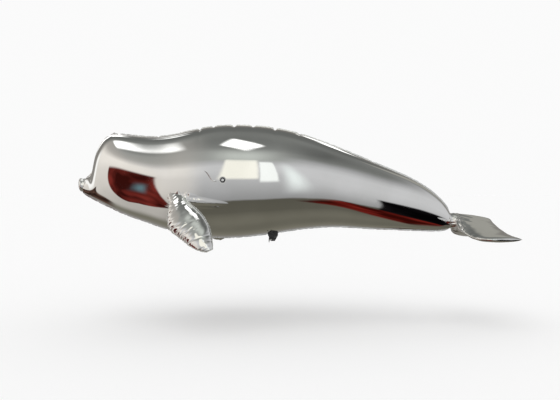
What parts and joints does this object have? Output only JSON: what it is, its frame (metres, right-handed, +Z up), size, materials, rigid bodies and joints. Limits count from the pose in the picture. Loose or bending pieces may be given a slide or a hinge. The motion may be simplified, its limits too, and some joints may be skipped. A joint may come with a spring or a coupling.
{
  "type": "whale-shaped remote control blimp",
  "caption": "Whale-shaped mirror film blimp with pillow flippers and flukes, and a belly pod with tilting propellers.",
  "frame": {"origin": "centre of lift on the centre plane, where the air holds the blimp up", "axes": "+X towards the tail, +Y towards the blimp's right flank, +Z up"},
  "size_m": [4.094, 1.514, 1.1581],
  "materials": {
    "mirror_film": "polished",
    "film_flange": "satin",
    "black_plastic": "satin",
    "black_foam": "matte",
    "grey_plastic": "satin",
    "bright_steel": "satin",
    "clear_plastic": "gloss"
  },
  "bodies": {
    "blimp": {"envelope_left": "mirror_film", "envelope_right": "mirror_film", "seam_back": "film_flange", "seam_belly": "film_flange", "nose_gather": "mirror_film", "tail_gather": "mirror_film", "tail_flukes": "mirror_film", "flipper_left": "mirror_film", "flipper_right": "mirror_film", "valve_patch": "film_flange", "valve_plug": "clear_plastic", "pod_saddle": "black_foam", "pod_plate": "black_plastic", "pod_hull": "black_plastic", "pod_switch": "grey_plastic", "battery": "grey_plastic", "bushing_left": "grey_plastic", "bushing_right": "grey_plastic"},
    "tilt_drive": {"tilt_shaft": "bright_steel", "clamp_left": "black_plastic", "clamp_right": "black_plastic", "motor_left": "bright_steel", "motor_right": "bright_steel"},
    "prop_left": {"propeller_left": "black_plastic"},
    "prop_right": {"propeller_right": "black_plastic"}
  },
  "joints": [
    {"name": "tilt", "type": "hinge", "parent": "blimp", "child": "tilt_drive", "pos_m": [0.24, 0, -0.5306], "axis": [0, 1, 0], "range_deg": [-90, 90]},
    {"name": "spin_left", "type": "hinge", "parent": "tilt_drive", "child": "prop_left", "pos_m": [0.2024, -0.062, -0.5306], "axis": [1, 0, 0], "continuous": true},
    {"name": "spin_right", "type": "hinge", "parent": "tilt_drive", "child": "prop_right", "pos_m": [0.2024, 0.062, -0.5306], "axis": [1, 0, 0], "continuous": true}
  ]
}
